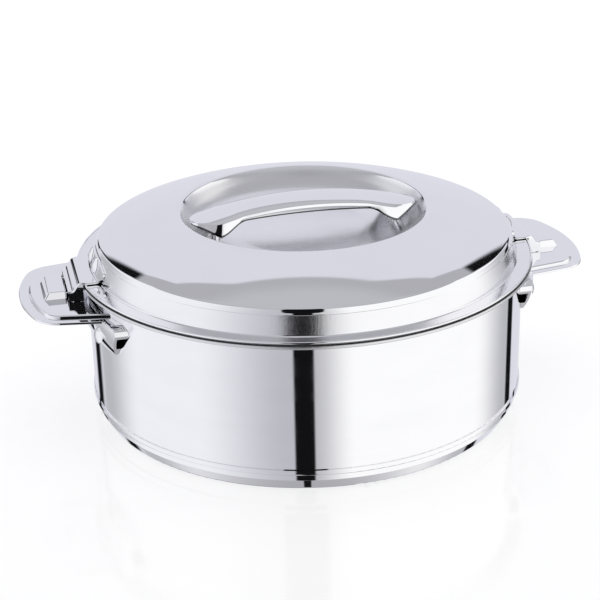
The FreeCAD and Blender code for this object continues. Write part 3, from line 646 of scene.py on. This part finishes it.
def grip_section(mesh, sizes, along, toe):
    """Wire across the grip at a distance from its middle; toe is the angle round its end."""
    start, end = GRIP_FLARE
    spread = max(0.0, min(abs(along), end) - start) / (end - start)
    flare = spread ** 2 * (3 - 2 * spread)     # level at both ends
    crown = sizes.grip_crown / MM - GRIP_ARCH * along ** 2
    low = GRIP_LOW[0] - GRIP_LOW[1] * along ** 2 - GRIP_DROP * flare
    narrow = math.cos(toe) / math.cos(math.radians(GRIP_TOE[0]))
    bent, foot = [(sizes.grip_half / MM + wider * flare) * narrow for wider in GRIP_SPREAD]
    depth = GRIP_CLOSE + (1 - GRIP_CLOSE) * narrow ** 3
    low = crown - (crown - low) * depth
    rise = sizes.grip_rise / MM * depth
    edge = crown - rise
    # share of the flank taken by the band of painted shade at its bottom
    shaded_hem = min(sizes.grip_shaded_hem / MM / (edge - low), 0.5)
    half = [(foot, low, 0),
            (foot + (bent - foot) * shaded_hem, low + (edge - low) * shaded_hem, 0),
            (bent, edge, sizes.grip_bend / MM * depth)]
    mirrored = [(-y, z, bend) for y, z, bend in reversed(half)]
    outline = half + [(0, crown + rise, GRIP_ROUND)] + mirrored
    return bent_wire(mesh, [(along, *corner) for corner in outline])


class CASSEROLE_OT_grip(bpy.types.Operator):
    """Build the lid's grip from sections across its arch"""
    bl_idname = "casserole.grip"
    bl_label = "Grip"

    def execute(self, context):
        sizes = context.scene.casserole_sizes
        mesh = bmesh.new()
        # 1 at the grip's lower edge, where its material paints a dark shade
        shaded_hem = mesh.verts.layers.float.new("shaded_hem")
        corner, radius = GRIP_TOE
        toes = [math.radians(turn) for turn in
                range(corner + GRIP_TOE_STEP, GRIP_TOE_LAST + 1, GRIP_TOE_STEP)]
        reach = GRIP_FLARE[1]
        end = reach - radius * math.sin(math.radians(corner))
        stations = [(-end - radius * math.sin(toe), toe) for toe in reversed(toes)]
        stations += [(along, math.radians(corner))
                     for along in range(-reach, reach + 1, GRIP_STEP)]
        stations += [(end + radius * math.sin(toe), toe) for toe in toes]
        wires = [grip_section(mesh, sizes, along, toe) for along, toe in stations]
        for vert in mesh.verts:
            vert[shaded_hem] = float(len(vert.link_edges) == 1)     # the wires' loose ends
        for first, second in zip(wires, wires[1:]):
            bmesh.ops.bridge_loops(mesh, edges=first + second)
        bmesh.ops.recalc_face_normals(mesh, faces=mesh.faces[:])
        upwards(mesh, lambda centre: -centre.z)
        bmesh.ops.solidify(mesh, geom=mesh.faces[:], thickness=sizes.grip_sheet)
        material = polished("grip_polish", context.scene.casserole_finish, painted_hem_shade=True)
        finished(mesh, "grip_strap", material, "polished_grip", "lid", "lid_grip", sharp=18)
        return {"FINISHED"}


class CASSEROLE_OT_clips(bpy.types.Operator):
    """Dress the two lid clips"""
    bl_idname = "casserole.clips"
    bl_label = "Lid clips"

    def execute(self, context):
        dress(polished("clip_polish", context.scene.casserole_finish), *both("lid_clip"))
        return {"FINISHED"}


class CASSEROLE_OT_rivets(bpy.types.Operator):
    """Dress the rivets and the grip's studs"""
    bl_idname = "casserole.rivets"
    bl_label = "Rivets and studs"

    def execute(self, context):
        dress(polished("rivet_polish", context.scene.casserole_finish),
              *both("ear_rivets"), *both("clip_rivets"), "grip_studs")
        return {"FINISHED"}


class CASSEROLE_OT_inside(bpy.types.Operator):
    """Dress what is inside the walls, and the plug under the base"""
    bl_idname = "casserole.inside"
    bl_label = "Foam, strips and plug"

    def execute(self, context):
        finish = context.scene.casserole_finish
        dress(foam("insulation_foam", finish), "body_foam", "lid_foam")
        dress(mill("strip_steel", finish), *both("ear_backing"), *both("clip_backing"))
        dress(plug_plastic("plug_plastic", finish), "base_fill_plug")
        return {"FINISHED"}


# ---------------------------------------------------------------- studio

def front_slot(turn, rise):
    """1 in the dark slot beside the camera, which flares upwards."""
    (low, low_flare), (high, high_flare) = FRONT_SLOT_FLARES
    flare = rise.step(*low) * low_flare + rise.step(*high) * high_flare
    away = (turn - FRONT_SLOT_TURN).math("ABSOLUTE")
    return (away - flare).step(*FRONT_SLOT_HALF) * rise.step(*FRONT_SLOT_TOP)


def side_slots(turn, rise):
    """1 in the two dark slots towards the back, which narrow and lean upwards."""
    upper = rise.step(*SIDE_SLOT_UPPER)
    rightwards = turn.step(-1, 1)

    def along(sides, above):
        """A measure that goes from its left and right values to one above."""
        lower = rightwards.between(*sides)
        return lower + upper * (above - lower)

    centre = along(SIDE_SLOT_TURN, UPPER_TURN - rise * UPPER_LEAN)
    half = along(SIDE_SLOT_HALF, UPPER_HALF)
    sharpness = along(SIDE_SLOT_SHARP, UPPER_SHARP)
    away = (turn.math("ABSOLUTE") - centre).math("ABSOLUTE")
    slots = ((away - half) * sharpness).step(*SIDE_SLOT_SOFT) * rise.step(*SIDE_SLOT_TOP)
    return slots * (1.0 - rise.band(*LEFT_GAP) * (1.0 - rightwards))


def surroundings(scene):
    """World that is white to the eye, and a white tent with dark slots to the mirrors."""
    studio = scene.casserole_studio
    aim = Vector(scene.casserole_camera.aim)
    away = Vector((aim.x, aim.y)).normalized()
    scene.world = bpy.data.worlds.new("white_tent")
    tree = Tree(scene.world)
    x, y, z = tree.split(tree.node("ShaderNodeTexCoord", output="Generated"))
    near = x * -away.x + y * -away.y
    side = x * away.y + y * -away.x
    turn = side.math("ARCTAN2", near) * math.degrees(1)     # 0 towards the front, right positive
    rise = z.math("ARCSINE") * math.degrees(1)
    round_about = turn.math("ABSOLUTE")
    left = tree.mix(turn.step(*LEFT_DUSK), studio.left_dusk, studio.left_wall)
    right = tree.mix(turn.step(*RIGHT_DUSK), studio.right_dusk, studio.right_wall)
    walls = tree.mix(turn.step(*WALL_SEAM), left, right)
    walls = tree.mix(round_about.step(*FAR_WALLS) * rise.step(*FAR_WALLS_TOP),
                     walls, studio.far_wall)
    tent = tree.mix(round_about.step(*BACK_WALL), walls, studio.back_wall)
    overhead = tree.mix(rise.step(*CEILING_EDGES), studio.ceiling_front, studio.ceiling)
    foot = round_about.step(*CEILING_LIFTS) * CEILING_LIFT + CEILING_FOOT
    foot = foot - round_about.band(*CEILING_DIPS) * CEILING_DIP
    tent = tree.mix((rise - foot).step(-CEILING_BLUR, CEILING_BLUR), tent, overhead)
    tent = tree.mix(rise.step(*BELOW), tent, studio.under)
    dark = front_slot(turn, rise).math("MAXIMUM", side_slots(turn, rise))
    tent = tree.mix(dark, tent, SLOT_COLOUR)
    tent = tree.mix(tree.node("ShaderNodeLightPath", output="Is Camera Ray"), tent, WHITE)
    shader = tree.node("ShaderNodeBackground", None, {"Color": tent, "Strength": studio.strength})
    tree.node("ShaderNodeOutputWorld", None, {"Surface": shader})


def floor_material(studio):
    """Pale glossy floor that keeps a soft shadow and a faint reflection."""
    material, tree = new_material("floor_white")
    where = tree.place()[0]
    grain = tree.noise(where, FLOOR_GRAIN)
    tree.surface(Base_Color=tree.mix(grain, FLOOR_LIGHT, FLOOR_DARK),
                 Roughness=grain.between(*FLOOR_ROUGH), Emission_Color=(*WHITE, 1.0),
                 Emission_Strength=studio.floor_glow)
    return material


class CASSEROLE_OT_stage(bpy.types.Operator):
    """Build the floor, the surroundings, the lamp and the camera"""
    bl_idname = "casserole.stage"
    bl_label = "Floor, light and camera"

    def execute(self, context):
        scene = context.scene
        studio = scene.casserole_studio
        bpy.ops.mesh.primitive_plane_add(size=FLOOR_SIZE, location=(0, 0, -FLOOR_DROP))
        floor = context.object
        floor.name = "floor"
        floor.data.materials.append(floor_material(studio))
        floor.visible_glossy = False
        surroundings(scene)

        lamp = bpy.data.lights.new("overhead_lamp", "AREA")
        lamp.energy = studio.lamp
        lamp.shape = "DISK"
        lamp.size = LAMP_SIZE
        overhead = bpy.data.objects.new("overhead_lamp", lamp)
        overhead.location = (0.0, 0.0, LAMP_HEIGHT)
        overhead.visible_glossy = False
        scene.collection.objects.link(overhead)

        settings = scene.casserole_camera
        aim = Vector(settings.aim).normalized()
        right = aim.cross(Vector((0, 0, 1))).normalized()
        level = Matrix((right, right.cross(aim), -aim)).transposed()
        data = bpy.data.cameras.new("camera")
        data.lens = settings.lens
        data.sensor_width = SENSOR
        camera = bpy.data.objects.new("camera", data)
        scene.collection.objects.link(camera)
        rolled = level @ Matrix.Rotation(settings.roll, 3, "Z")
        camera.matrix_world = Matrix.Translation(Vector(settings.place)) @ rolled.to_4x4()
        scene.camera = camera
        scene.view_settings.view_transform = "Standard"
        return {"FINISHED"}


PIECES = (CASSEROLE_OT_body, CASSEROLE_OT_bowl, CASSEROLE_OT_ears, CASSEROLE_OT_lid,
          CASSEROLE_OT_grip, CASSEROLE_OT_clips, CASSEROLE_OT_rivets, CASSEROLE_OT_inside,
          CASSEROLE_OT_stage)
SETTINGS = {"casserole_sizes": CasseroleSizes, "casserole_finish": CasseroleFinish,
            "casserole_studio": CasseroleStudio, "casserole_camera": CasseroleCamera}


class CASSEROLE_PT_sidebar(bpy.types.Panel):
    """Lists the casserole's pieces and settings"""
    bl_idname = "CASSEROLE_PT_sidebar"
    bl_label = "Casserole"
    bl_space_type = "VIEW_3D"
    bl_region_type = "UI"
    bl_category = "Casserole"

    def draw(self, context):
        for name, group in SETTINGS.items():
            box = self.layout.box()
            for prop in group.__annotations__:
                box.prop(getattr(context.scene, name), prop)
        for operator in PIECES:
            self.layout.operator(operator.bl_idname)


def register():
    for name, group in SETTINGS.items():
        bpy.utils.register_class(group)
        setattr(bpy.types.Scene, name, PointerProperty(type=group))
    for operator in PIECES:
        bpy.utils.register_class(operator)
    bpy.utils.register_class(CASSEROLE_PT_sidebar)


def unregister():
    bpy.utils.unregister_class(CASSEROLE_PT_sidebar)
    for operator in reversed(PIECES):
        bpy.utils.unregister_class(operator)
    for name, group in SETTINGS.items():
        delattr(bpy.types.Scene, name)
        bpy.utils.unregister_class(group)


def main():
    register()
    for operator in PIECES:
        getattr(bpy.ops.casserole, operator.bl_idname.split(".")[1])()


if __name__ == "__main__":
    main()
